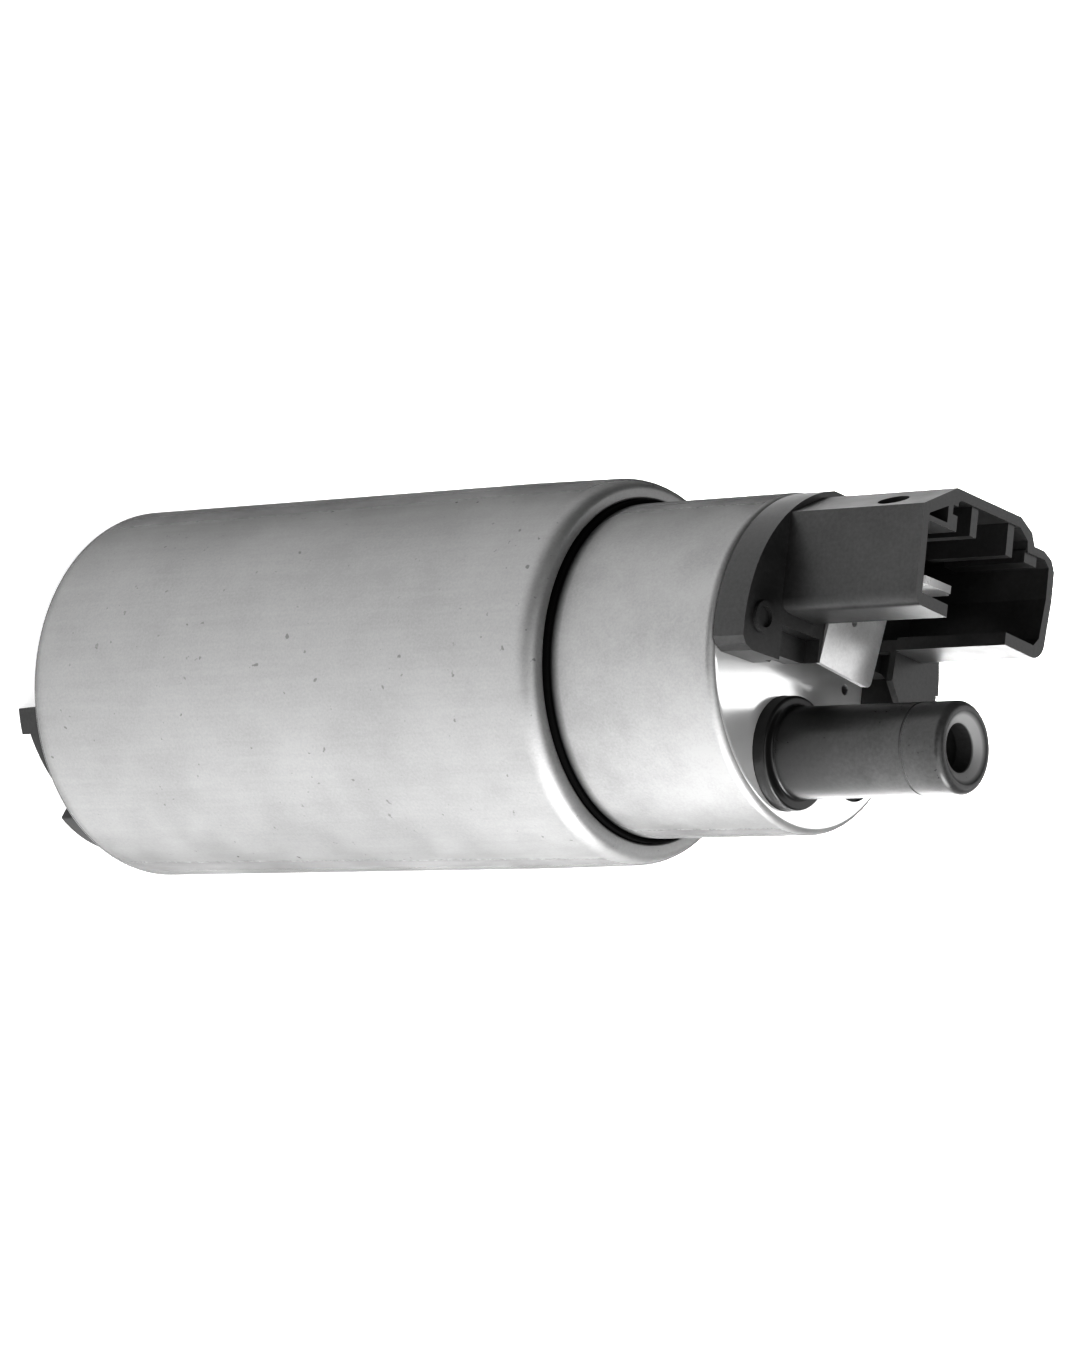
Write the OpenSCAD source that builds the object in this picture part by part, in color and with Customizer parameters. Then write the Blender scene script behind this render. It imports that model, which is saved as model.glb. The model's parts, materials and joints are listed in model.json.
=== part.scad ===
/* [Can] */
// Outside diameter of the can
can_d = 38; // [37.5:0.5:40]
// Length of the can between its rolled ends
can_len = 66; // [62:1:80]
// Sheet thickness of the can
can_wall = 0.9; // [0.7:0.1:0.9]

/* [Neck] */
// Thickness of the rubber sleeve between the can and the motor case
sleeve_t = 1.85; // [1.5:0.05:2]
// Length of the neck that stands out of the can
neck_len = 19.3; // [17:0.1:24]
// Height of the feet below the can
foot_h = 4; // [3.5:0.1:6]

/* [Outlet] */
// Outside diameter of the outlet tube
tube_d = 8.7; // [8.2:0.1:9]
// Height of the outlet tube above the neck
tube_h = 20.15; // [18:0.05:24]

/* [Socket] */
// Width of the connector socket
socket_w = 22.4; // [21.8:0.1:22.6]
// Height of the socket mouth above the neck
socket_h = 18.4; // [16:0.1:22]
// Wall thickness of the socket
socket_wall = 1; // [0.9:0.1:1.3]
// Width of the two terminal blades
blade_w = 5.6; // [4.8:0.1:6]

/* [Motor] */
// Travel that each brush has against its spring
brush_travel = 2; // [1:0.5:2]
// Number of armature slots
slots = 8; // [6:1:10]
// Number of impeller vanes
vanes = 32; // [20:1:40]

/* [Hidden] */
$fn = 96;
eps = 0.5;      // how far a cutter runs past the face that it cuts
slip = 0.05;    // clearance between pieces that fit each other
run_gap = 0.1;  // clearance between pieces that run past each other

// Heights, all from the ground under the feet
can_low = foot_h;
can_top = can_low + can_len;
rim_z = can_top + neck_len;
cover_top = can_low + 6.2;
impeller_low = cover_top + run_gap;
impeller_t = 3.7;
cavity_top = impeller_low + impeller_t + run_gap;
shoulder_z = cover_top + 9.8;
end_t = 1.3;
holder_top = rim_z - end_t - slip;
holder_low = holder_top - 13.3;
comm_top = holder_low - 2.5;
comm_t = 4;
turn_top = comm_top - comm_t - 2.5;
turn_t = 5;
core_top = turn_top - turn_t;
turn_low = shoulder_z + 5;
core_low = turn_low + turn_t;
cap_z = rim_z + 3.5;
mouth_z = rim_z + socket_h;
tip_z = rim_z + tube_h;

// Radii about the pump axis
can_r = can_d / 2;
can_bore = can_r - can_wall;
low_round = 3;
top_round = 1.6;
low_lip_r = can_r - 3.4;
neck_r = can_bore - sleeve_t;
case_wall = 1.05;
case_bore = neck_r - case_wall;
top_lip_r = neck_r + 0.5;
sleeve_top = can_top + 0.5;
cap_r = neck_r - 0.1;
impeller_r = can_bore - 3.1;
channel_r = impeller_r - 1.8;

// What lies inside the case keeps its share of the bore
share = case_bore / 15.2;
shaft_r = 1.5 * share;
bearing_r = 3.4 * share;
hub_r = 4 * share;
comm_r = 9 * share;
core_r = 11.6 * share;
magnet_in = 12.3 * share;
magnet_out = case_bore - slip;
slot_w = 3.4 * share;
slot_in = 5.4 * share;
turn_in = 3.4 * share;
turn_out = core_r - 1.2;
choke_xy = [10.8, 5.5] * share;
choke_r = 2.1 * share;

// Outlet tube with its check valve
tube_xy = [-2.8, -9.3] * share;
tube_r = tube_d / 2;
tube_round = 0.9;
collar_r = 5.4 * share;
collar_z = rim_z + 1.4;
flange_r = collar_r + 0.3;
tube_bore = 2.9;
mouth_r = 2.2;
funnel_r = 3;
funnel_low = tip_z - funnel_r + mouth_r;
seat_z = holder_top - 0.3;
seat_t = 2;
head_z = seat_z + seat_t + slip;
head_t = 1.6;
stop_z = tip_z - 6.2;
stop_t = 1.8;
stem_r = 0.6;

// Relief valve
relief_xy = [8.1, -7.8] * share;
port_r = 3.8 * share;
relief_r = 2.2;
relief_hole = 1.1;
ball_r = 1.7;
relief_seat = holder_low + 3;
ball_z = relief_seat + sqrt(ball_r * ball_r - relief_hole * relief_hole) + slip;
plug_z = holder_top - 1.7;

// Brushes on the face of the commutator
brush_x = 6.2 * share;
brush_size = [4 * share, 6 * share, 9];
brush_low = comm_top + run_gap;
pocket_top = brush_low + brush_size.z + brush_travel + 3.4;

// Socket and cap, seen along the axis
socket_x = 0.5;
socket_left = socket_x - socket_w / 2;
socket_right = socket_x + socket_w / 2;
socket_low = 2;
socket_rise = 0.5;   // how much higher the left lip stands than the right one
socket_high = 14.6;
socket_corner = 1.2;
slot_left = -5.4;
slot_right = 4.5;
blade_x = 4.9;
blade_y = 8.4;
blade_t = 0.8;
blade_tip = cap_z + 6.5;
spigot_low = [-9, 1.6] * share;
spigot_size = [18, 10] * share;

// A ring or disc about the axis, from z_low to z_high
module ring(r_out, r_in, z_low, z_high) {
    translate([0, 0, z_low]) difference() {
        cylinder(r = r_out, h = z_high - z_low);
        if (r_in > 0) translate([0, 0, -eps]) cylinder(r = r_in, h = z_high - z_low + 2 * eps);
    }
}

// Half section of a drum with rounded ends
module drum_section(r, z_low, z_high, r_low, r_high) {
    translate([0, z_low]) square([r - max(r_low, r_high), z_high - z_low]);
    translate([0, z_low]) square([r - r_low, r_low]);
    translate([0, z_high - r_high]) square([r - r_high, r_high]);
    translate([0, z_low + r_low]) square([r, z_high - z_low - r_low - r_high]);
    translate([r - r_low, z_low + r_low]) circle(r_low);
    translate([r - r_high, z_high - r_high]) circle(r_high);
}

module upright(angle, span, r_in, r_out, z_low, z_high) {
    rotate(angle - span / 2) translate([0, 0, z_low])
        rotate_extrude(angle = span) translate([r_in, 0]) square([r_out - r_in, z_high - z_low]);
}

// Coil spring along Z: one tube of six sides, eight rings to a curl, with straight ends
coil_rings = 8;
coil_sides = 6;

function coil_centre(r, wire, z_low, z_high, curls, i) =
    let (
        last = curls * coil_rings,
        k = min(max(i - 1, 0), last),
        a = k * 360 / coil_rings,
        rise = z_high - z_low - 2 * wire,
        slope = rise / (curls * 2 * PI * r),
        run = i == 0 ? -wire : i == last + 2 ? wire : 0,
        along = [-sin(a), cos(a), slope] / norm([1, slope])
    )
    [r * cos(a), r * sin(a), z_low + wire + rise * k / last] + run * along;

function coil_ring(r, wire, z_low, z_high, curls, i) =
    let (
        last = curls * coil_rings,
        a = min(max(i - 1, 0), last) * 360 / coil_rings,
        slope = (z_high - z_low - 2 * wire) / (curls * 2 * PI * r),
        along = [-sin(a), cos(a), slope] / norm([1, slope]),
        out = [cos(a), sin(a), 0],
        side = cross(along, out)
    )
    [for (j = [0:coil_sides - 1])
        let (b = j * 360 / coil_sides)
        coil_centre(r, wire, z_low, z_high, curls, i) + wire / 2 * (cos(b) * out + sin(b) * side)];

module coil(name, r, wire, z_low, z_high, curls) {
    last = curls * coil_rings + 2;
    centres = [for (i = [0:last]) coil_centre(r, wire, z_low, z_high, curls, i)];
    gaps = [for (i = [0:last], j = [i + coil_rings - 2:1:last]) norm(centres[i] - centres[j]) - wire];
    echo(str(name, " least gap to itself ", min(gaps)));
    points = [for (i = [0:last], p = coil_ring(r, wire, z_low, z_high, curls, i)) p];
    walls = [for (i = [0:last - 1], j = [0:coil_sides - 1], half = [0, 1])
        let (
            a = i * coil_sides + j,
            b = i * coil_sides + (j + 1) % coil_sides,
            c = b + coil_sides,
            d = a + coil_sides
        )
        half == 0 ? [a, d, c] : [a, c, b]];
    start = [for (j = [1:coil_sides - 2]) [0, j, j + 1]];
    end_at = last * coil_sides;
    finish = [for (j = [1:coil_sides - 2]) [end_at, end_at + j + 1, end_at + j]];
    polyhedron(points, concat(walls, start, finish));
}

module outer_can() {
    color("silver") rotate_extrude() difference() {
        drum_section(can_r, can_low, can_top, low_round, top_round);
        drum_section(can_bore, can_low + can_wall, can_top - can_wall,
            low_round - can_wall, top_round - can_wall);
        translate([0, can_low - eps]) square([low_lip_r, can_wall + 2 * eps]);
        translate([0, can_top - can_wall - eps]) square([top_lip_r, can_wall + 2 * eps]);
    }
}

module isolator_sleeve() {
    color("black") rotate_extrude() difference() {
        drum_section(can_bore - slip, shoulder_z + 2, can_top - can_wall - slip, 0.3, top_round - can_wall);
        translate([0, shoulder_z]) square([neck_r + slip, can_top - shoulder_z]);
    }
    color("black") ring(top_lip_r - slip, neck_r + slip, can_top - 2, sleeve_top);
}

// Cup whose closed end is the bright face of the neck
module motor_case() {
    color("gainsboro") difference() {
        rotate_extrude() difference() {
            drum_section(neck_r, shoulder_z + slip, rim_z, 0.2, 0.9);
            translate([0, shoulder_z - eps]) square([case_bore, rim_z - end_t - shoulder_z + eps]);
        }
        translate([tube_xy.x, tube_xy.y, holder_top]) cylinder(r = collar_r + slip, h = end_t + eps);
        translate([relief_xy.x, relief_xy.y, holder_top]) cylinder(r = port_r, h = end_t + eps);
        translate([spigot_low.x - slip, spigot_low.y - slip, holder_top])
            cube([spigot_size.x + 2 * slip, spigot_size.y + 2 * slip, end_t + eps]);
        translate([5.5, -1.3, rim_z - 1]) cylinder(r = 0.5, h = 2);
    }
}

// Face of the cap: a segment of the neck's circle with a stepped lower edge
module cap_face(r) {
    intersection() {
        circle(r);
        polygon([[-20, -1], [-16.2, -1], [-15.6, -1.8], [-14.6, -2.2], [-9.5, -2.1], [-8.6, -1.2],
            [-4.6, -1.1], [-3.4, -0.8], [1.2, 0.3], [20, 0.3], [20, 15.6], [-20, 15.6]]);
    }
}

module socket_outline() {
    c = socket_corner;
    wide = 1.6 * socket_corner;
    draft = 0.5;
    polygon([
        [socket_left, socket_low + socket_rise + c],
        [socket_left + c, socket_low + socket_rise],
        [socket_right - draft - wide, socket_low],
        [socket_right - draft, socket_low + wide],
        [socket_right, socket_low + 6],
        [socket_right, socket_high - 3.8],
        [socket_right - 0.6, socket_high - 2.8],
        [socket_right - 2, socket_high - 2.2],
        [socket_right - 3.7, socket_high - 2.2],
        [socket_right - 4.3, socket_high - 1],
        [socket_right - 6.4, socket_high],
        [socket_left + 5.1, socket_high],
        [socket_left, socket_high - 2.7]
    ]);
    translate([socket_left + c, socket_low + socket_rise + c]) circle(c);
    translate([socket_right - draft - wide, socket_low + wide]) circle(wide);
}

module socket_cavity() {
    left = socket_left + socket_wall;
    right = socket_right - socket_wall;
    low = socket_low + socket_wall;
    high = socket_high - socket_wall;
    polygon([
        [left, low + socket_rise + 0.2],
        [right - 1.4, low + 0.2],
        [right - 0.6, low + 1],
        [right, low + 5],
        [right, high - 2.6],
        [right - 0.8, high - 2],
        [right - 3.8, high - 2],
        [right - 4, high - 0.9],
        [right - 5.4, high],
        [left + 5, high],
        [left, high - 2.4]
    ]);
}

// Ribs that key the plug, hanging from the upper wall of the socket
module socket_keys() {
    rib_low = 10.6;
    rib_len = 9;
    intersection() {
        translate([0, 0, mouth_z - 0.2 - rib_len]) linear_extrude(rib_len) {
            difference() {
                translate([socket_left + 0.6, rib_low]) square([5.2, 4]);
                intersection() {
                    translate([socket_left, rib_low + 0.5]) square([4.2, 2.4]);
                    socket_cavity();
                }
                translate([socket_left + 5, rib_low + 1.5]) square([2, 0.9]);
            }
            translate([-2.7, rib_low + 0.2]) square([1.1, 4]);
            translate([3.5, rib_low - 0.1]) square([1.1, 4]);
            translate([6.7, rib_low]) square([2.1, 1.2]);
            translate([7.8, rib_low]) square([1, 1.9]);
        }
        translate([0, 0, cap_z]) linear_extrude(mouth_z - cap_z) socket_outline();
    }
}

module terminal_slot(x) {
    translate([x - blade_w / 2 - slip, blade_y - blade_t / 2 - slip, 0])
        cube([blade_w + 2 * slip, blade_t + 2 * slip, cap_z + eps]);
}

// Post beside the socket: a plate over a set back foot, with a gusset between them
module post() {
    left = 6.1;
    width = 6.35;
    front = -3.4;
    depth = 3 - front;
    high = rim_z + 5.8;
    foot_in = 2.2;
    plate = 0.7;
    wing = 1.6;
    corner = 1;
    translate([left + foot_in, front, rim_z + slip]) cube([width - foot_in, depth, high - rim_z - slip]);
    translate([left, front, high - plate]) linear_extrude(plate)
        polygon([[corner, 0], [width, 0], [width, depth], [-wing, depth], [-wing, depth / 2]]);
    translate([left, 0, 0]) rotate([90, 0, 90]) linear_extrude(foot_in + 0.1)
        polygon([[0.4, cap_z - 1], [3, cap_z - 1], [3, high], [-1.9, high], [0.4, cap_z]]);
}

module end_cap() {
    chamfer_turn = 28;
    color("dimgray") difference() {
        union() {
            translate([0, 0, rim_z + slip]) linear_extrude(cap_z - rim_z - slip) cap_face(cap_r);
            translate([spigot_low.x, spigot_low.y, holder_top + slip])
                cube([spigot_size.x, spigot_size.y, end_t + 1]);
            difference() {
                translate([0, 0, cap_z - 1]) linear_extrude(mouth_z - cap_z + 1) socket_outline();
                translate([0, 0, cap_z]) linear_extrude(mouth_z - cap_z + eps) socket_cavity();
                translate([slot_left, 0, cap_z]) cube([slot_right - slot_left, 5, mouth_z]);
            }
            socket_keys();
            post();
            translate([-13.5, 1.2, cap_z - 1]) cylinder(r = 1.5, h = 1.4);
        }
        terminal_slot(-blade_x);
        terminal_slot(blade_x);
        translate([-10.2, -3, cap_z - 1.6]) cube([6, 4.2, 3]);
        translate([-13.5, 1.2, cap_z]) cylinder(r = 1, h = 1);
        translate([-8.4, socket_high - 2.1, mouth_z - 4.9]) rotate([-90, 0, chamfer_turn])
            cylinder(r = 1.5, h = 3);
        tab_place() translate([tab_left - slip, -9, -slip]) cube([tab_right - tab_left + 2 * slip, 9.2, 3]);
    }
}

tab_left = -3.9;
tab_right = 4.7;
tab_turn = 6.5;
tab_skew = 4.5;

// The tab slopes down from the socket's floor towards the edge of the cap
module tab_place() {
    translate([0.7, 6.05, cap_z + slip]) rotate([tab_turn, 0, -tab_skew]) children();
}

module ground_tab() {
    tab_t = 0.7;
    corner = 0.7;
    len = 7.2;
    color("white") tab_place() difference() {
        union() {
            translate([tab_left, -len, 0]) cube([tab_right - tab_left - corner, len, tab_t]);
            translate([tab_left, corner - len, 0]) cube([tab_right - tab_left, len - corner, tab_t]);
            translate([tab_right - corner, corner - len, 0]) cylinder(r = corner, h = tab_t);
        }
        translate([-0.1, -2.1, -eps]) cylinder(r = 0.4, h = 3);
    }
}

module terminal(x) {
    foot_z = holder_top - 4;
    color("gold") {
        translate([x - blade_w / 2, blade_y - blade_t / 2, foot_z])
            cube([blade_w, blade_t, blade_tip - 0.6 - foot_z]);
        translate([x - blade_w / 2 + 0.6, blade_y - blade_t / 2, blade_tip - 1])
            cube([blade_w - 1.2, blade_t, 1]);
    }
}

module terminal_a() {
    terminal(-blade_x);
}

module terminal_b() {
    terminal(blade_x);
}

module outlet_tube() {
    color("gray") intersection() {
        translate([tube_xy.x, tube_xy.y, 0]) rotate_extrude() difference() {
            union() {
                translate([0, holder_top - 1.4]) square([flange_r, 1.4 - slip]);
                translate([0, holder_top - 2 * slip]) square([collar_r, collar_z - holder_top + 2 * slip]);
                translate([0, collar_z - 1]) square([tube_r, tip_z - tube_round - collar_z + 1]);
                translate([0, tip_z - 2]) square([tube_r - tube_round, 2]);
                translate([tube_r - tube_round, tip_z - tube_round]) circle(tube_round);
            }
            translate([0, holder_top - 3]) square([tube_bore, tip_z - 2.6 - holder_top + 3]);
            square([mouth_r, tip_z + eps]);
            polygon([[0, tip_z + eps], [funnel_r + eps, tip_z + eps], [mouth_r, funnel_low],
                [0, funnel_low]]);
        }
        cylinder(r = case_bore - 2 * slip, h = tip_z + 1);
    }
}

module outlet_seal() {
    color("black") translate([tube_xy.x, tube_xy.y, holder_top - 1.9])
        rotate_extrude() translate([3.9, 0]) circle(0.45);
}

module check_seat() {
    color("black") translate([tube_xy.x, tube_xy.y, 0]) ring(tube_bore - slip, 1.4, seat_z, seat_z + seat_t);
}

module check_poppet() {
    color("white") translate([tube_xy.x, tube_xy.y, 0]) {
        ring(2.3, 0, head_z, head_z + head_t);
        ring(stem_r, 0, head_z + head_t - 0.1, stop_z + stop_t + 0.3);
    }
}

module check_spring() {
    color("silver") translate([tube_xy.x, tube_xy.y, 0])
        coil("check_spring", 1.5, 0.4, head_z + head_t + slip, stop_z - slip, 6);
}

module check_stop() {
    color("gray") translate([tube_xy.x, tube_xy.y, 0]) difference() {
        union() {
            ring(tube_bore - slip, 2.15, stop_z, stop_z + stop_t);
            translate([-2.4, -0.95, stop_z]) cube([4.8, 1.9, stop_t]);
        }
        translate([0, 0, stop_z - eps]) cylinder(r = stem_r + slip, h = stop_t + 2 * eps);
    }
}

module relief_ball() {
    color("silver") translate([relief_xy.x, relief_xy.y, ball_z]) sphere(ball_r);
}

module relief_spring() {
    color("silver") translate([relief_xy.x, relief_xy.y, 0])
        coil("relief_spring", 1.5, 0.4, ball_z + ball_r + slip, plug_z - slip, 4);
}

module relief_plug() {
    color("gray") translate([relief_xy.x, relief_xy.y, 0]) {
        ring(relief_r - slip, 1.2, plug_z, holder_top + 0.1);
        ring(port_r - slip, 1.2, holder_top + slip, rim_z - 0.3);
    }
}

module brush_pocket(x) {
    w = brush_size.x + 2 * slip;
    d = brush_size.y + 2 * slip;
    translate([x - w / 2, -d / 2, holder_low - eps]) cube([w, d, pocket_top - holder_low + eps]);
}

module brush_holder() {
    color("darkslategray") difference() {
        ring(magnet_out, 0, holder_low, holder_top);
        translate([0, 0, holder_low - eps]) cylinder(r = bearing_r + slip, h = 5.2 + eps);
        cylinder(r = shaft_r + 0.3, h = holder_low + 6.5);
        brush_pocket(-brush_x);
        brush_pocket(brush_x);
        translate([tube_xy.x, tube_xy.y, holder_low - eps]) cylinder(r = 2, h = 20);
        translate([tube_xy.x, tube_xy.y, holder_top - 1.4 - slip]) cylinder(r = flange_r + slip, h = 5);
        translate([tube_xy.x, tube_xy.y, holder_top - 2.4]) ring(4.4, 3.4, 0, 3);
        translate([relief_xy.x, relief_xy.y, holder_low - eps]) cylinder(r = relief_hole, h = 10);
        translate([relief_xy.x, relief_xy.y, relief_seat]) cylinder(r = relief_r, h = 20);
        for (side = [-1, 1]) {
            translate([side * choke_xy.x, choke_xy.y, holder_low + 3]) cylinder(r = choke_r, h = 20);
            translate([side * blade_x - blade_w / 2 - slip, blade_y - blade_t / 2 - slip, holder_top - 4.1])
                cube([blade_w + 2 * slip, blade_t + 2 * slip, 10]);
        }
    }
}

module brush(x) {
    color("darkgray") translate([x - brush_size.x / 2, -brush_size.y / 2, brush_low]) cube(brush_size);
}

module brush_a() {
    brush(-brush_x);
}

module brush_b() {
    brush(brush_x);
}

module brush_spring_a() {
    color("silver") translate([-brush_x, 0, 0])
        coil("brush_spring_a", 1.5, 0.45, brush_low + brush_size.z + slip, pocket_top - slip, 3);
}

module brush_spring_b() {
    color("silver") translate([brush_x, 0, 0])
        coil("brush_spring_b", 1.5, 0.45, brush_low + brush_size.z + slip, pocket_top - slip, 3);
}

// Suppression choke: a ferrite rod with its close wound wire as ridges
module choke(side) {
    turn = 0.8;
    turns = 9;
    rod_r = choke_r - 0.5;
    color("chocolate") translate([side * choke_xy.x, choke_xy.y, holder_low + 3 + slip]) {
        cylinder(r = rod_r, h = turn * turns + 2);
        translate([0, 0, 1]) rotate_extrude() for (i = [0:turns - 1])
            translate([rod_r, turn * (i + 0.5)]) circle(turn / 2);
    }
}

module choke_a() {
    choke(-1);
}

module choke_b() {
    choke(1);
}

module upper_bearing() {
    color("tan") ring(bearing_r, shaft_r + slip, holder_low, holder_low + 5);
}

module commutator() {
    color("peru") difference() {
        union() {
            ring(comm_r, 0, comm_top - comm_t, comm_top);
            ring(hub_r, 0, turn_top + slip, comm_top - comm_t + 1);
        }
        ring(shaft_r + 0.01, 0, turn_top - 1, comm_top + 1);
        for (i = [0:slots - 1]) rotate(i * 360 / slots)
            translate([hub_r - 0.8, -0.25, comm_top - 1.2]) cube([comm_r, 0.5, 3]);
    }
}

module windings() {
    color("darkorange") {
        for (z = [turn_low, core_top + slip]) translate([0, 0, z]) rotate_extrude() {
            translate([turn_in, 0]) square([turn_out - turn_in - 1.4, turn_t - 2 * slip]);
            translate([turn_in + 1.6, 0]) square([turn_out - turn_in - 1.6, turn_t - 1.4]);
        }
        for (i = [0:slots - 1]) rotate(i * 360 / slots)
            translate([slot_in + slip, -slot_w / 2 + slip, turn_low + 1])
                cube([turn_out - slot_in - 0.1, slot_w - 2 * slip, turn_top - turn_low - 2]);
    }
}

module armature_core() {
    color("slategray") difference() {
        ring(core_r, shaft_r + 0.01, core_low, core_top);
        for (i = [0:slots - 1]) rotate(i * 360 / slots) translate([0, 0, core_low - eps]) {
            translate([slot_in, -slot_w / 2, 0]) cube([turn_out - slot_in, slot_w, core_top]);
            translate([turn_out - 0.4, -0.6, 0]) cube([4, 1.2, core_top]);
        }
    }
}

module shaft() {
    color("lightsteelblue") difference() {
        ring(shaft_r, 0, cover_top - 1, holder_low + 5.6);
        translate([shaft_r - 0.4, -3, cover_top - 2]) cube([3, 6, cavity_top - cover_top + 2]);
    }
}

module lower_bearing() {
    color("tan") ring(bearing_r, shaft_r + slip, shoulder_z - 2, shoulder_z + 3.5);
}

module magnet_a() {
    color("dimgray") upright(0, 130, magnet_in, magnet_out, core_low - 3, core_top + 3);
}

module magnet_b() {
    color("dimgray") upright(180, 130, magnet_in, magnet_out, core_low - 3, core_top + 3);
}

// Spring steel clip that spreads the two magnets apart
module magnet_clip(angle) {
    color("silver") {
        upright(angle, 49, magnet_out - 0.5, magnet_out, core_low - 2, core_top + 2);
        for (side = [-1, 1])
            upright(angle + side * 23.4, 2.2, magnet_in + 0.4, magnet_out, core_low - 2, core_top + 2);
    }
}

module magnet_clip_a() {
    magnet_clip(90);
}

module magnet_clip_b() {
    magnet_clip(270);
}

// Ring channel that the vanes sweep, cut in the two faces beside the impeller
module channel(z) {
    translate([0, 0, z]) rotate(40) rotate_extrude(angle = 300) translate([channel_r, 0]) circle(1.3);
}

module pump_casing() {
    color("lightgray") difference() {
        union() {
            ring(can_bore - slip, 0, cover_top + slip, shoulder_z);
            ring(case_bore - slip, 0, shoulder_z - 1, shoulder_z + 4);
        }
        ring(impeller_r + 0.5, 0, cover_top - 1, cavity_top);
        channel(cavity_top);
        rotate(-20) translate([channel_r - 1.4, 0, cavity_top - 1]) cylinder(r = 1.4, h = 20);
        ring(shaft_r + 0.4, 0, cavity_top - 1, shoulder_z + 5);
        ring(bearing_r + slip, 0, shoulder_z - 2 - slip, shoulder_z + 5);
    }
}

module impeller() {
    color("saddlebrown") difference() {
        ring(impeller_r, 0, impeller_low, impeller_low + impeller_t);
        difference() {
            ring(shaft_r + 0.02, 0, impeller_low - 1, cavity_top + 1);
            translate([shaft_r - 0.38, -3, impeller_low - 2]) cube([3, 6, impeller_t + 4]);
        }
        for (i = [0:vanes - 1]) rotate(i * 360 / vanes)
            translate([impeller_r - 2.4, -0.65, impeller_low - 1]) cube([4, 1.3, impeller_t + 2]);
    }
}

module casing_seal() {
    color("black") translate([0, 0, cover_top - 1.2])
        rotate_extrude() translate([can_bore - 0.7, 0]) circle(0.5);
}

module thrust_ball() {
    color("silver") translate([0, 0, cover_top - 1 - run_gap - shaft_r]) sphere(shaft_r);
}

first_foot = 202.5;
inlet_at = 67.5;
inlet_r = 5;
inlet_out = low_lip_r - 6.8;

module inlet_cover() {
    color("darkgray") difference() {
        union() {
            rotate_extrude()
                drum_section(can_bore - slip, can_low + can_wall + slip, cover_top,
                    low_round - can_wall, 0.3);
            ring(low_lip_r - slip, 0, can_low - 0.4, can_low + 2);
            for (i = [0:3])
                upright(first_foot + 90 * i, 10, low_lip_r - 2.2, low_lip_r - slip, 0, can_low + 1);
            for (a = [214, 245.5, 34, 65.5, 124, 304])
                upright(a, 13, low_lip_r - 2.6, low_lip_r - slip, can_low - 2.2, can_low + 1);
            rotate(inlet_at) translate([inlet_out, 0, can_low - 2.6]) cylinder(r = inlet_r + 1.2, h = 4);
            rotate(inlet_at + 180) translate([low_lip_r - 8.6, 0, can_low - 3.4]) cylinder(r = 1.5, h = 4);
        }
        rotate(inlet_at) translate([inlet_out, 0, -1]) cylinder(r = inlet_r, h = cover_top - 1.6);
        rotate(inlet_at) translate([channel_r - 1, 0, can_low]) cylinder(r = 1.3, h = cover_top);
        channel(cover_top);
        translate([0, 0, cover_top - 1 - run_gap - 2 * shaft_r]) cylinder(r = shaft_r + slip, h = 8);
        translate([0, 0, cover_top - 1.2]) rotate_extrude() translate([can_bore - 1.25, -0.55])
            square([3, 1.1]);
    }
}

outer_can();
isolator_sleeve();
motor_case();
end_cap();
ground_tab();
terminal_a();
terminal_b();
outlet_tube();
outlet_seal();
check_seat();
check_poppet();
check_spring();
check_stop();
relief_ball();
relief_spring();
relief_plug();
brush_holder();
brush_a();
brush_b();
brush_spring_a();
brush_spring_b();
choke_a();
choke_b();
upper_bearing();
commutator();
windings();
armature_core();
shaft();
lower_bearing();
magnet_a();
magnet_b();
magnet_clip_a();
magnet_clip_b();
pump_casing();
impeller();
casing_seal();
thrust_ball();
inlet_cover();
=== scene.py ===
import json
import math

import bmesh
import bpy
from mathutils import Matrix, Vector


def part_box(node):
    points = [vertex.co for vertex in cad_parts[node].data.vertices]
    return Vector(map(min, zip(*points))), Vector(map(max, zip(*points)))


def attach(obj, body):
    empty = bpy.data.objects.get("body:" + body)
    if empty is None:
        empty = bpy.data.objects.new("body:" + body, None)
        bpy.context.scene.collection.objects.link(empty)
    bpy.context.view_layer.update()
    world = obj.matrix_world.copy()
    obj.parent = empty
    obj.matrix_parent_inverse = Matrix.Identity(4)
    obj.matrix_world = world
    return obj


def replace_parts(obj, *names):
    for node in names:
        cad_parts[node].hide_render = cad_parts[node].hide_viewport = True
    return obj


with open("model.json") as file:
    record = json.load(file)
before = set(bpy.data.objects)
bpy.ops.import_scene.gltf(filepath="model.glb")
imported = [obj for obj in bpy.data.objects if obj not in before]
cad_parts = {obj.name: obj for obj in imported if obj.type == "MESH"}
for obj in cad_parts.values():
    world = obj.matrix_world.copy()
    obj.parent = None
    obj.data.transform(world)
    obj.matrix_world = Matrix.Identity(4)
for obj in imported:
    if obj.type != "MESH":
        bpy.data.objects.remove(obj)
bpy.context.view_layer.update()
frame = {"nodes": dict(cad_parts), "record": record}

NODES = frame["nodes"]
FIXED = "pump"
MATERIALS = {}

# Sizes are in millimetres, and MM turns them into the frame's metres
MM = 0.001


def box_mm(node):
    """The lowest and the highest corner of a CAD node."""
    return [[v / MM for v in corner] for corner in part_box(node)]


CAN_LOW, CAN_TOP = [corner[2] for corner in box_mm("outer_can")]
CAN_R = box_mm("outer_can")[1][0]
NECK_R = box_mm("motor_case")[1][0]
RIM_Z = box_mm("motor_case")[1][2]
TIP_Z = box_mm("outlet_tube")[1][2]

# Sizes that the boxes don't give
CAN_WALL = 0.9
CAN_LIP_WIDTH = 3.4
CASE_WALL = 1.05
CLOSED_END_T = 1.3
LIP_GAP = 0.5
SLIP = 0.05
TUBE_XY = (-2.8, -9.3)
PORT_XY = (8.1, -7.8)
PIT_XY = (5.5, -1.3)

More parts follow.
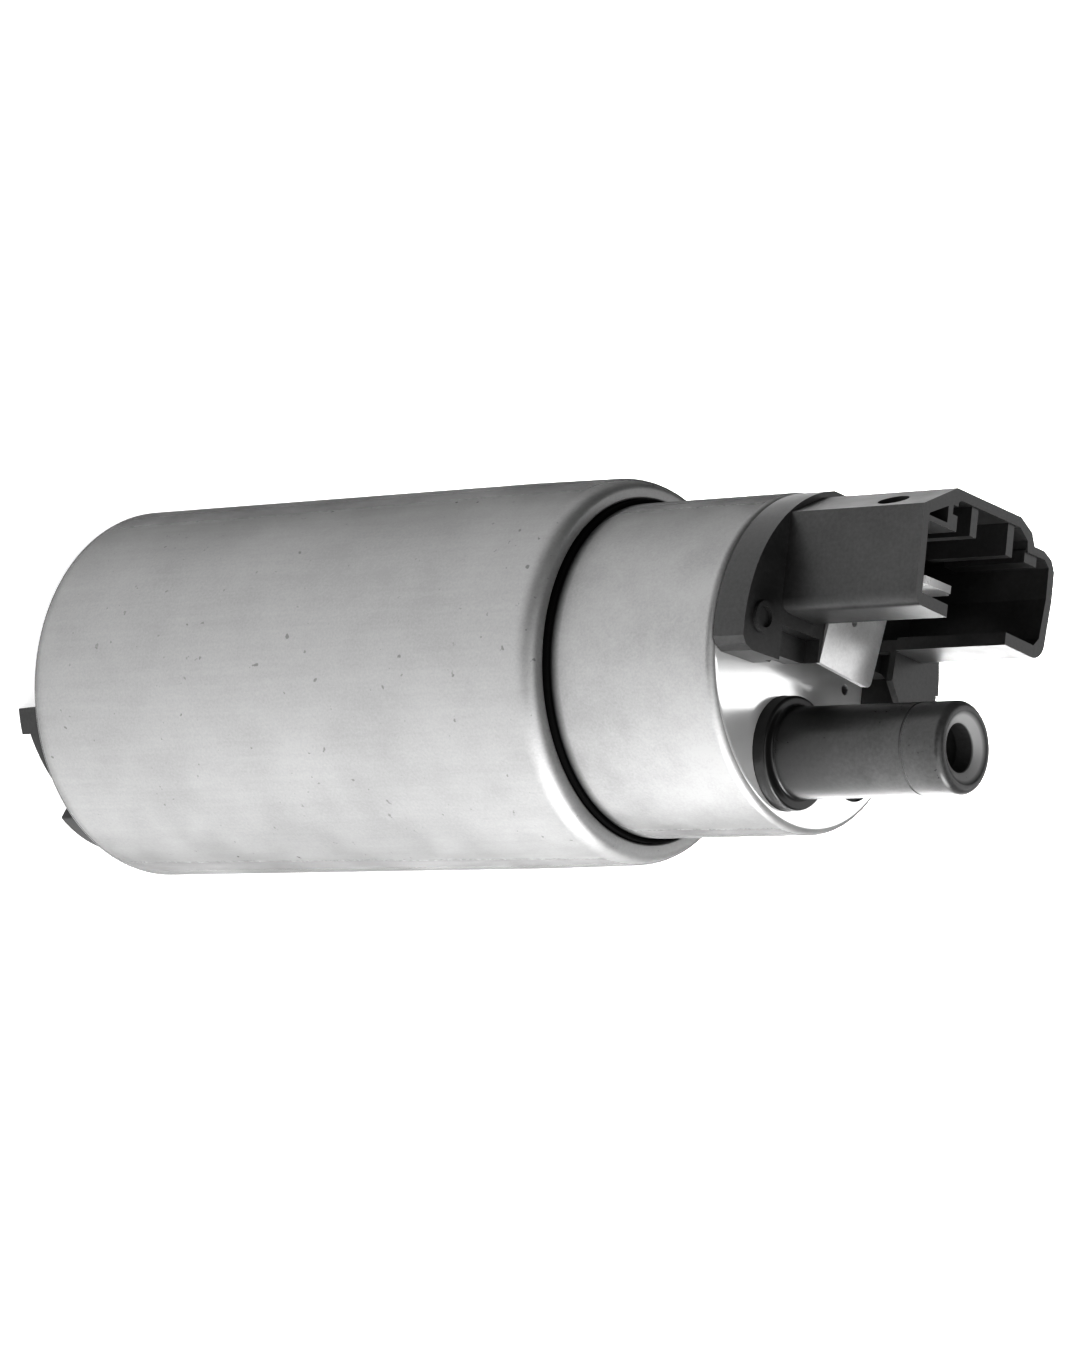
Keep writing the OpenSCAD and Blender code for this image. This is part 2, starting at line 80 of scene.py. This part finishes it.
# How much each CAD node's edges are rounded
SOFT_EDGES = {
    "end_cap": 0.22,
    "ground_tab": 0.1,
    "terminal_a": 0.12,
    "terminal_b": 0.12,
    "inlet_cover": 0.25,
    "check_stop": 0.1,
}

# The photograph's view, in degrees: the pump's axis runs to the right of the picture
AZIMUTH = 194.5
ELEVATION = 38.218
ROLL = 87.326
AIM = Vector((5.06, 1.45, 52.24))
DISTANCE = 500
LENS = 133.33


def make_camera():
    data = bpy.data.cameras.new("camera")
    data.lens = LENS
    data.sensor_width = 36
    data.clip_start = 0.01
    data.clip_end = 20
    data.dof.use_dof = False
    camera = bpy.data.objects.new("camera", data)
    turn = Matrix.Rotation(math.radians(AZIMUTH + 90), 4, "Z")
    tilt = Matrix.Rotation(math.radians(90 - ELEVATION), 4, "X")
    roll = Matrix.Rotation(math.radians(ROLL), 4, "Z")
    back = Matrix.Translation((0, 0, DISTANCE * MM))
    camera.matrix_world = Matrix.Translation(AIM * MM) @ turn @ tilt @ roll @ back
    bpy.context.collection.objects.link(camera)
    bpy.context.scene.camera = camera


# Material building blocks

def grey(level):
    return (level, level, level, 1)


class Nodes:
    """Short calls for the nodes of one material, where a value is a socket or a fixed number or colour."""

    def __init__(self, name):
        material = bpy.data.materials.new(name)
        material.use_nodes = True
        MATERIALS[name] = material
        self.tree = material.node_tree
        self.place = self.add("ShaderNodeTexCoord").outputs["Object"]

    def add(self, kind, **settings):
        node = self.tree.nodes.new(kind)
        for key, value in settings.items():
            setattr(node, key, value)
        return node

    def give(self, value, target):
        """Links a socket to the target, or sets a fixed value there."""
        if isinstance(value, bpy.types.NodeSocket):
            self.tree.links.new(value, target)
        else:
            target.default_value = value

    def scaled(self, x, y, z):
        """The object's coordinates, scaled along each axis."""
        node = self.add("ShaderNodeMapping")
        self.give((x, y, z), node.inputs["Scale"])
        self.give(self.place, node.inputs["Vector"])
        return node.outputs["Vector"]

    def height(self):
        """The object's Z coordinate, in metres."""
        node = self.add("ShaderNodeSeparateXYZ")
        self.give(self.place, node.inputs["Vector"])
        return node.outputs["Z"]

    def noise(self, scale, detail, rough=0.55, place=None):
        """Noise from 0 to 1, mostly near 0.5; the scale counts its lumps to the metre."""
        node = self.add("ShaderNodeTexNoise")
        self.give(scale, node.inputs["Scale"])
        self.give(detail, node.inputs["Detail"])
        self.give(rough, node.inputs["Roughness"])
        self.give(place or self.place, node.inputs["Vector"])
        return node.outputs["Fac"]

    def span(self, value, low, high, new_low=0, new_high=1):
        """The value's range from low to high, stretched to a new one and cut off there."""
        node = self.add("ShaderNodeMapRange")
        self.give(value, node.inputs["Value"])
        self.give(low, node.inputs["From Min"])
        self.give(high, node.inputs["From Max"])
        self.give(new_low, node.inputs["To Min"])
        self.give(new_high, node.inputs["To Max"])
        return node.outputs["Result"]

    def spread(self, noise, half, new_low=0, new_high=1):
        """The part of a noise that lies within half of 0.5, stretched to a new range."""
        return self.span(noise, 0.5 - half, 0.5 + half, new_low, new_high)

    def mix(self, share, first, second, kind="RGBA"):
        """From the first to the second colour, or number with kind FLOAT."""
        node = self.add("ShaderNodeMix", data_type=kind)
        self.give(share, node.inputs["Factor"])
        self.give(first, node.inputs["A"])
        self.give(second, node.inputs["B"])
        return node.outputs["Result"]

    def bump(self, height, strength, distance):
        node = self.add("ShaderNodeBump")
        self.give(strength, node.inputs["Strength"])
        self.give(distance * MM, node.inputs["Distance"])
        self.give(height, node.inputs["Height"])
        return node.outputs["Normal"]

    def surface(self, **values):
        """Gives the surface its values, by their names with _ for a space."""
        shader = self.tree.nodes["Principled BSDF"]
        for key, value in values.items():
            self.give(value, shader.inputs[key.replace("_", " ")])


def drawn_steel(name, dark, light, rough, metallic=1.0, streaks=0.5, edge_shine=1.0):
    """Satin sheet metal: a cloudy mottle, fine streaks along the axis, specks and small dark pits."""
    n = Nodes(name)
    cloud = n.noise(scale=95, detail=6, rough=0.62)
    lines = n.noise(scale=1300, detail=3, rough=0.6, place=n.scaled(1, 1, 0.05))
    specks = n.noise(scale=3800, detail=3, rough=0.7)
    mottle = n.mix(0.3, n.mix(streaks, cloud, lines, "FLOAT"), specks, "FLOAT")
    clear_of_pits = n.span(n.noise(scale=1100, detail=2, rough=0.5), 0.24, 0.29)
    pit_colour = grey(0.72 * dark[0])
    n.surface(
        Base_Color=n.mix(clear_of_pits, pit_colour, n.mix(n.spread(mottle, 0.12), dark, light)),
        Roughness=n.spread(cloud, 0.15, *rough),
        Metallic=metallic,
        Specular_IOR_Level=0.5 * edge_shine,
        Specular_Tint=grey(edge_shine),
        Normal=n.bump(specks, 0.1, 0.02),
    )


def neck_steel(name):
    """Satin round the neck, with painted shade near black just above the groove, and polished on the
    closed end.
    """
    n = Nodes(name)
    height = n.height()
    polish = n.span(height, (RIM_Z - 0.06) * MM, (RIM_Z - 0.02) * MM)
    # Painted shade: the neck's colour goes to near black just above the can's lip, where the groove's
    # shade falls on it.
    clear_of_painted_shade = n.span(height, (CAN_TOP + 0.2) * MM, (CAN_TOP + 1.5) * MM)
    cloud = n.noise(scale=110, detail=6, rough=0.62)
    mottle = n.mix(0.3, cloud, n.noise(scale=3800, detail=3, rough=0.7), "FLOAT")
    satin = n.mix(clear_of_painted_shade, grey(0.01), n.mix(n.spread(mottle, 0.12), grey(0.29), grey(0.375)))
    bright = n.mix(n.spread(cloud, 0.15), grey(0.93), grey(0.98))
    satin_rough = n.spread(cloud, 0.15, 0.42, 0.52)
    bright_rough = n.spread(cloud, 0.15, 0.15, 0.2)
    n.surface(
        Base_Color=n.mix(polish, satin, bright),
        Roughness=n.mix(polish, satin_rough, bright_rough, "FLOAT"),
        Metallic=n.mix(polish, 0.7, 0.68, "FLOAT"),
        Specular_IOR_Level=0.0,
        Specular_Tint=n.mix(polish, grey(0), grey(1)),
        Normal=n.bump(n.noise(scale=3400, detail=3, rough=0.7), 0.06, 0.02),
    )


def moulded(name, dark, light, rough, shine=0.5):
    """Moulded plastic, rubber and the like: a fine eroded grain with a slow change of sheen."""
    n = Nodes(name)
    slow = n.noise(scale=220, detail=4, rough=0.5)
    mottle = n.mix(0.4, slow, n.noise(scale=2600, detail=3, rough=0.6), "FLOAT")
    n.surface(
        Base_Color=n.mix(n.spread(mottle, 0.14), dark, light),
        Roughness=n.spread(slow, 0.2, *rough),
        Specular_IOR_Level=shine,
        Normal=n.bump(n.noise(scale=5200, detail=3, rough=0.6), 0.1, 0.04),
    )


def tube_plastic(name):
    """Moulded plastic with painted shade that makes it dark at the collar and paler towards the tip, and a
    painted highlight ring round the mouth.
    """
    n = Nodes(name)
    height = n.height()
    slow = n.noise(scale=180, detail=4)
    mottle = n.mix(0.4, slow, n.noise(scale=2600, detail=3, rough=0.6), "FLOAT")
    pale = n.mix(n.spread(mottle, 0.14), grey(0.035), grey(0.065))
    # Painted shade: the colour is darkest at the collar by the end face and grows paler up the tube.
    out_of_collar_shade = n.span(height, (RIM_Z + 1.2) * MM, (TIP_Z - 8) * MM)
    out_of_axis = n.add("ShaderNodeVectorMath", operation="DISTANCE")
    n.give(n.scaled(1, 1, 0), out_of_axis.inputs[0])
    n.give((TUBE_XY[0] * MM, TUBE_XY[1] * MM, 0), out_of_axis.inputs[1])
    # Painted highlight: a paler ring on the flared mouth, where light catches the funnel.
    near_mouth = n.span(out_of_axis.outputs["Value"], 3.0 * MM, 3.4 * MM, 1, 0)
    near_tip = n.span(height, (TIP_Z - 1.0) * MM, (TIP_Z - 0.8) * MM)
    painted_highlight = n.mix(near_mouth, 0.0, near_tip, "FLOAT")
    n.surface(
        Base_Color=n.mix(painted_highlight, n.mix(out_of_collar_shade, grey(0.012), pale), grey(0.3)),
        Roughness=n.spread(mottle, 0.2, 0.26, 0.36),
        Normal=n.bump(n.noise(scale=5200, detail=3, rough=0.6), 0.1, 0.04),
    )


def make_materials():
    """One material for each slot of the record, with its darkest and lightest tone and its roughness."""
    # Seen from outside
    drawn_steel("zinc_can", grey(0.3), grey(0.37), (0.44, 0.54), metallic=0.7, streaks=0.2, edge_shine=0)
    neck_steel("case_steel")
    moulded("cap_plastic", grey(0.022), grey(0.042), (0.34, 0.46))
    tube_plastic("tube_plastic")
    moulded("sleeve_rubber", grey(0.003), grey(0.006), (0.8, 0.9), shine=0.1)
    drawn_steel("tinned_tab", grey(0.68), grey(0.82), (0.3, 0.4), metallic=0.65)
    drawn_steel("terminal_brass", grey(0.93), grey(1.0), (0.22, 0.3), metallic=0.3)
    moulded("cover_metal", grey(0.02), grey(0.035), (0.45, 0.6))
    # Inside
    moulded("seal_rubber", grey(0.012), grey(0.02), (0.5, 0.7))
    moulded("valve_plastic", grey(0.26), grey(0.34), (0.4, 0.5))
    moulded("holder_plastic", grey(0.03), grey(0.05), (0.5, 0.6))
    moulded("pump_plastic", grey(0.08), grey(0.1), (0.45, 0.55))
    moulded("carbon", grey(0.03), grey(0.05), (0.55, 0.7))
    moulded("ferrite", grey(0.05), grey(0.08), (0.6, 0.7))
    drawn_steel("spring_steel", grey(0.5), grey(0.6), (0.25, 0.35))
    drawn_steel("core_steel", grey(0.2), grey(0.3), (0.4, 0.5))
    drawn_steel("shaft_steel", grey(0.6), grey(0.7), (0.12, 0.2))
    drawn_steel("casing_metal", grey(0.4), grey(0.5), (0.4, 0.55))
    drawn_steel("copper", (0.45, 0.22, 0.12, 1), (0.6, 0.32, 0.18, 1), (0.25, 0.35))
    drawn_steel("commutator_copper", (0.6, 0.34, 0.22, 1), (0.7, 0.42, 0.28, 1), (0.2, 0.3))
    drawn_steel("bronze", (0.35, 0.25, 0.12, 1), (0.45, 0.33, 0.18, 1), (0.4, 0.5))


def dress_nodes():
    """Every CAD node takes the material of its slot."""
    slots = {row["node"]: row["material_slot"] for row in frame["record"]["subparts"]}
    for name, piece in NODES.items():
        piece.data.materials.clear()
        piece.data.materials.append(MATERIALS[slots[name]])


# Mesh building blocks

def arc(x, z, r, start, end, steps, stretch=1):
    """Points of an arc in the half section, from +X towards +Z, which stretch makes taller."""
    turns = [math.radians(start + (end - start) * i / steps) for i in range(steps + 1)]
    return [(x + r * math.cos(a), z + stretch * r * math.sin(a)) for a in turns]


def circle(centre, r, around=64):
    turns = [2 * math.pi * i / around for i in range(around)]
    return [(centre[0] + r * math.cos(a), centre[1] + r * math.sin(a)) for a in turns]


def oblong(x0, y0, x1, y1):
    return [(x0, y0), (x1, y0), (x1, y1), (x0, y1)]


def loop_at(mesh, points, z):
    """Vertices and edges of a closed outline at one height."""
    ring = [mesh.verts.new((x * MM, y * MM, z * MM)) for x, y in points]
    edges = [mesh.edges.new((ring[i], ring[(i + 1) % len(ring)])) for i in range(len(ring))]
    return ring, edges


def bridge(mesh, first, second):
    """Faces between two closed rows of as many vertices."""
    for i in range(len(first)):
        j = (i + 1) % len(first)
        mesh.faces.new((first[i], first[j], second[j], second[i]))


def finished(name, mesh, slot, sharp):
    """The mesh as a piece on the fixed body, smooth except at edges that turn by sharp degrees."""
    bmesh.ops.recalc_face_normals(mesh, faces=mesh.faces)
    data = bpy.data.meshes.new(name)
    mesh.to_mesh(data)
    mesh.free()
    data.shade_smooth()
    data.set_sharp_from_angle(angle=math.radians(sharp))
    data.materials.append(MATERIALS[slot])
    piece = bpy.data.objects.new(name, data)
    bpy.context.collection.objects.link(piece)
    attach(piece, FIXED)
    return piece


def lathed(name, profile, slot, centre=(0, 0), around=192, sharp=40):
    """A piece from a closed half section that turns about an upright axis."""
    mesh = bmesh.new()
    rings = [loop_at(mesh, circle(centre, r, around), z)[0] for r, z in profile]
    for ring, following in zip(rings, rings[1:] + rings[:1]):
        bridge(mesh, ring, following)
    return finished(name, mesh, slot, sharp)


def sector(mesh, start, end, r_in, r_out, low_start, low_end, high):
    """A closed part of a ring, whose lower face may slope from one height to another."""
    steps = 8
    sections = []
    for i in range(steps + 1):
        a = math.radians(start + (end - start) * i / steps)
        low = low_start + (low_end - low_start) * i / steps
        corners = ((r_in, low), (r_out, low), (r_out, high), (r_in, high))
        places = [(r * math.cos(a) * MM, r * math.sin(a) * MM, z * MM) for r, z in corners]
        sections.append([mesh.verts.new(place) for place in places])
    for first, second in zip(sections, sections[1:]):
        bridge(mesh, first, second)
    mesh.faces.new(sections[0])
    mesh.faces.new(sections[-1])


def soften(piece, width):
    """Joins the flat faces of a piece's mesh and rounds its edges."""
    flat_angle = math.radians(1)
    edge_angle = math.radians(32)
    flat = piece.modifiers.new("join_flats", "DECIMATE")
    flat.decimate_type = "DISSOLVE"
    flat.angle_limit = flat_angle
    edge = piece.modifiers.new("round_edges", "BEVEL")
    edge.width = width * MM
    edge.segments = 3
    edge.limit_method = "ANGLE"
    edge.angle_limit = edge_angle
    edge.harden_normals = True
    edge.use_clamp_overlap = True
    piece.data.shade_smooth()


# Pieces that stand for CAD nodes

def make_can():
    """Can with a rounded bottom, a rolled upper end that is drawn in, and a lip round the neck."""
    bottom_r = 3
    edge_r = 0.25
    roll_r = 1.3
    roll_stretch = 1.6
    drawn_in = 0.15
    drawn_in_from = CAN_TOP - 12
    lip_low = CAN_R - CAN_LIP_WIDTH
    lip_high = NECK_R + LIP_GAP
    roll_x = CAN_R - drawn_in - roll_r
    roll_top = CAN_TOP - SLIP
    profile = arc(lip_low + edge_r, CAN_LOW + edge_r, edge_r, 180, 270, 4)
    profile += arc(CAN_R - bottom_r, CAN_LOW + bottom_r, bottom_r, -90, 0, 20)
    profile += [(CAN_R, drawn_in_from)]
    profile += arc(roll_x, roll_top - roll_stretch * roll_r, roll_r, 4, 84, 20, roll_stretch)
    profile += arc(lip_high + edge_r, CAN_TOP - edge_r, edge_r, 88, 180, 6)
    profile += [(lip_high, CAN_TOP - CAN_WALL)]
    profile += arc(roll_x, roll_top - roll_r, roll_r - CAN_WALL, 90, 0, 8)
    profile += [(CAN_R - CAN_WALL, drawn_in_from)]
    profile += arc(CAN_R - bottom_r, CAN_LOW + bottom_r, bottom_r - CAN_WALL, 0, -90, 8)
    profile += [(lip_low, CAN_LOW + CAN_WALL)]
    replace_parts(lathed("can_skin", profile, "zinc_can"), "outer_can")


def make_case():
    """Drawn cup with a rounded rim and a closed end that has its openings and a small pit."""
    case_low = box_mm("motor_case")[0][2]
    bore = NECK_R - CASE_WALL
    rim_r = 0.9
    flat_margin = 0.15
    tube_hole = circle(TUBE_XY, 5.45)
    port_hole = circle(PORT_XY, 3.8)
    socket_hole = oblong(-9.05, 1.55, 9.05, 11.65)
    pit_r = 0.5
    pit_floor_r = 0.35
    pit_depth = 1
    around = 192
    mesh = bmesh.new()
    profile = [(bore, case_low), (NECK_R, case_low)]
    profile += arc(NECK_R - rim_r, RIM_Z - rim_r, rim_r, 0, 90, 12)
    profile += [(NECK_R - rim_r - flat_margin, RIM_Z)]
    rings = [loop_at(mesh, circle((0, 0), r, around), z) for r, z in profile]
    inner = loop_at(mesh, circle((0, 0), bore, around), RIM_Z - CLOSED_END_T)
    for first, second in zip(rings, rings[1:]):
        bridge(mesh, first[0], second[0])
    bridge(mesh, inner[0], rings[0][0])
    upper = list(rings[-1][1])
    lower = list(inner[1])
    for points in (tube_hole, port_hole, socket_hole):
        above = loop_at(mesh, points, RIM_Z)
        below = loop_at(mesh, points, RIM_Z - CLOSED_END_T)
        bridge(mesh, above[0], below[0])
        upper += above[1]
        lower += below[1]
    pit_top = loop_at(mesh, circle(PIT_XY, pit_r, 24), RIM_Z)
    pit_floor = loop_at(mesh, circle(PIT_XY, pit_floor_r, 24), RIM_Z - pit_depth)
    bridge(mesh, pit_top[0], pit_floor[0])
    mesh.faces.new(pit_floor[0])
    upper += pit_top[1]
    for edges in (upper, lower):
        bmesh.ops.triangle_fill(mesh, edges=edges, use_beauty=True, normal=(0, 0, 1))
    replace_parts(finished("case_cup", mesh, "case_steel", 35), "motor_case")


def make_tube():
    """Outlet tube with a flange, a collar, a fillet, a fine ring line and a flared mouth."""
    tube_low = box_mm("outlet_tube")[0][2]
    tube_r = 4.35
    flange_r = 5.5
    flange_top = RIM_Z - CLOSED_END_T - 0.1
    foot_bore = 2.9
    collar_r = 5.4
    collar_top = RIM_Z + 1.4
    collar_round = 0.3
    fillet = 0.35
    line_z = TIP_Z - 4.4
    line_depths = ((0, -0.16), (0.07, -0.08), (0.07, 0.08), (0, 0.16))
    tip_round = 0.8
    mouth = ((3.4, 0.06), (3.2, 0.2), (2.5, 0.55), (2.3, 0.75), (2.25, 2.6), (foot_bore, 2.6))
    profile = [(foot_bore, tube_low), (flange_r, tube_low), (flange_r, flange_top), (collar_r, flange_top)]
    profile += arc(collar_r - collar_round, collar_top - collar_round, collar_round, 0, 90, 5)
    profile += arc(tube_r + fillet, collar_top + fillet, fillet, 270, 180, 5)
    profile += [(tube_r - depth, line_z + z) for depth, z in line_depths]
    profile += arc(tube_r - tip_round, TIP_Z - tip_round, tip_round, 0, 90, 10)
    profile += [(r, TIP_Z - depth) for r, depth in mouth]
    tube = lathed("tube_skin", profile, "tube_plastic", TUBE_XY, around=128, sharp=30)
    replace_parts(tube, "outlet_tube")


def make_sleeve():
    """Rubber sleeve with a rounded edge that shows between the can's lip and the neck."""
    low, high = [corner[2] for corner in box_mm("isolator_sleeve")]
    inner = NECK_R + SLIP
    outer = CAN_R - CAN_WALL - SLIP
    lip = inner + LIP_GAP - 2 * SLIP
    lip_round = 0.15
    inner_round = 0.1
    under_can = CAN_TOP - CAN_WALL - SLIP
    profile = [(inner, low), (outer, low)]
    profile += [(outer, under_can - 0.8), (outer - 0.7, under_can), (lip, under_can)]
    profile += arc(lip - lip_round, high - lip_round, lip_round, 0, 90, 4)
    profile += arc(inner + inner_round, high - inner_round, inner_round, 90, 180, 3)
    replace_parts(lathed("sleeve_skin", profile, "sleeve_rubber", sharp=50), "isolator_sleeve")


def make_inlet_lugs():
    """The slope beside a foot and the low lug further round, on both sides of the inlet end."""
    lip_r = CAN_R - CAN_LIP_WIDTH
    mesh = bmesh.new()
    for turn in (0, 180):
        sector(
            mesh, turn + 207, turn + 229, r_in=lip_r - 2.2, r_out=lip_r - 0.1,
            low_start=0.9, low_end=CAN_LOW - 2.1, high=CAN_LOW - 0.1)
        sector(
            mesh, turn + 243, turn + 270, r_in=lip_r - 2.6, r_out=lip_r + 0.9,
            low_start=0.75, low_end=0.3, high=CAN_LOW - 0.15)
    soften(finished("inlet_lugs", mesh, "cover_metal", 30), 0.25)


# Floor and light, in metres

FLOOR_HALF = 3.0
FLOOR_GLOW = 0.55
WORLD_GLOW = 0.09


def make_floor():
    mesh = bpy.data.meshes.new("floor")
    corners = oblong(-FLOOR_HALF, -FLOOR_HALF, FLOOR_HALF, FLOOR_HALF)
    mesh.from_pydata([(x, y, 0) for x, y in corners], [], [(0, 1, 2, 3)])
    n = Nodes("floor_white")
    n.surface(
        Base_Color=n.mix(n.noise(scale=3, detail=2), grey(0.93), grey(0.95)),
        Roughness=0.9,
        Emission_Color=grey(1),
        Emission_Strength=FLOOR_GLOW,
    )
    mesh.materials.append(MATERIALS["floor_white"])
    floor = bpy.data.objects.new("floor", mesh)
    bpy.context.collection.objects.link(floor)


def soft_light(name, at, size, watts, towards=(0, 0, 0.055), spread=180):
    """A square area light that faces a point, as a rule the pump's middle."""
    data = bpy.data.lights.new(name, "AREA")
    data.shape = "SQUARE"
    data.size = size
    data.energy = watts
    data.spread = math.radians(spread)
    lamp = bpy.data.objects.new(name, data)
    lamp.location = at
    lamp.visible_camera = False
    lamp.rotation_euler = (Vector(towards) - Vector(at)).to_track_quat("-Z", "Y").to_euler()
    bpy.context.collection.objects.link(lamp)


def make_light():
    world = bpy.data.worlds.new("studio")
    world.use_nodes = True
    background = world.node_tree.nodes["Background"]
    background.inputs["Color"].default_value = grey(1)
    background.inputs["Strength"].default_value = WORLD_GLOW
    bpy.context.scene.world = world
    soft_light("key_light", at=(-0.38, -0.75, 0.42), size=1.0, watts=6.4)
    soft_light("low_light", at=(0.05, -0.8, 0.14), size=0.5, watts=6.8, towards=(0, 0, 0.045))
    soft_light("far_light", at=(1.0, 0.15, 0.95), size=1.4, watts=6.6)
    soft_light("camera_side_light", at=(-0.4, -0.12, 0.73), size=0.7, watts=1.5)
    # Brightens the patch of floor that faces turned towards -Y mirror to the camera
    pool = Vector((0.15, -0.045, 0))
    above_pool = pool + Vector((0, 0, 0.22))
    soft_light("pool_light", at=above_pool, size=0.12, watts=0.25, towards=pool, spread=60)


view = bpy.context.scene.view_settings
view.view_transform = "Standard"
view.look = "High Contrast"
view.exposure = 0.0
make_camera()
make_floor()
make_light()
make_materials()
dress_nodes()
make_can()
make_case()
make_tube()
make_sleeve()
make_inlet_lugs()
for node, width in SOFT_EDGES.items():
    soften(NODES[node], width)
